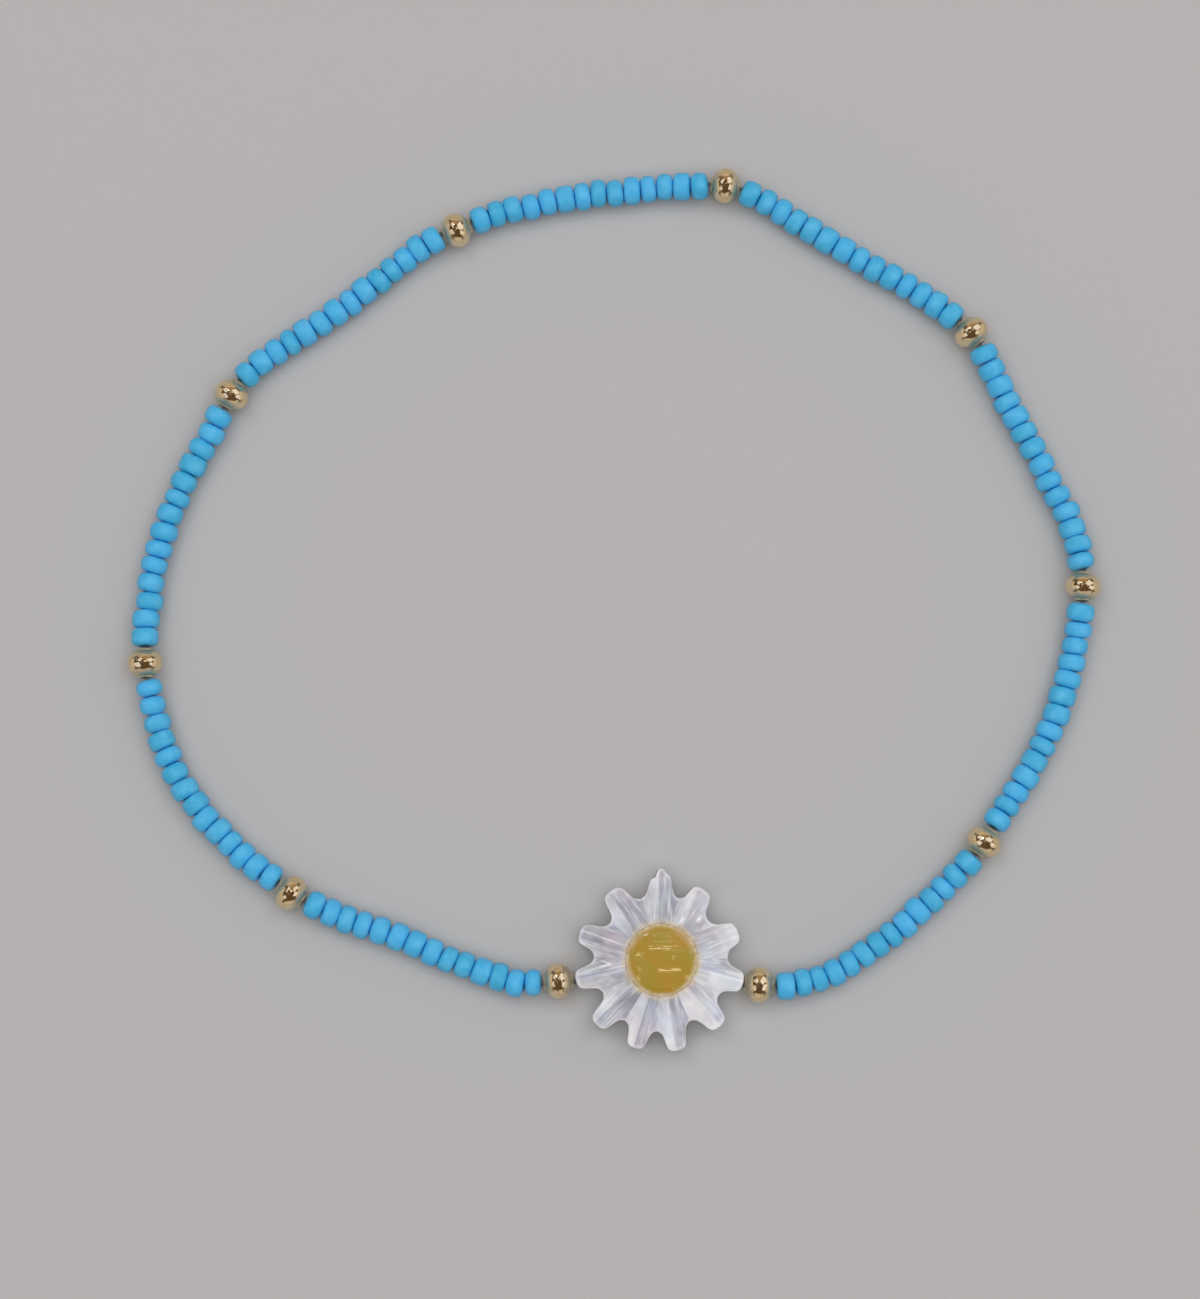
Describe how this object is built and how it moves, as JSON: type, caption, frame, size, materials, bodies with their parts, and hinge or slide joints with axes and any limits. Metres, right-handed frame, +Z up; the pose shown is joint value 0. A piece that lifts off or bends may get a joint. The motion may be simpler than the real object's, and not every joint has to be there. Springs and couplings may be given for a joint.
{
  "type": "bracelet",
  "caption": "Stretch bracelet of turquoise glass seed beads with small gold balls between the runs and a carved mother-of-pearl daisy with a yellow centre.",
  "frame": {"origin": "middle of the loop's box, on the surface that the bracelet lies on", "axes": "+X along the loop's longer way, +Y from the side with the daisy to the side across from it, +Z up from the surface"},
  "size_m": [0.0682, 0.0621, 0.0031],
  "materials": {
    "seed_glass": "satin",
    "gold": "polished",
    "mother_of_pearl": "gloss",
    "yellow_enamel": "gloss",
    "clear_elastic": "gloss"
  },
  "bodies": {
    "root": {"seed_beads_1": "seed_glass", "seed_beads_2": "seed_glass", "seed_beads_3": "seed_glass", "seed_beads_4": "seed_glass", "seed_beads_5": "seed_glass", "seed_beads_6": "seed_glass", "seed_beads_7": "seed_glass", "seed_beads_8": "seed_glass", "seed_beads_9": "seed_glass", "gold_bead_left": "gold", "gold_bead_lower_left": "gold", "gold_bead_daisy_left": "gold", "gold_bead_daisy_right": "gold", "gold_bead_lower_right": "gold", "gold_bead_right": "gold", "gold_bead_upper_right": "gold", "gold_bead_top": "gold", "gold_bead_upper_left": "gold", "gold_bead_far_left": "gold", "daisy_petals": "mother_of_pearl", "daisy_centre": "yellow_enamel", "elastic_cord": "clear_elastic"}
  },
  "joints": []
}
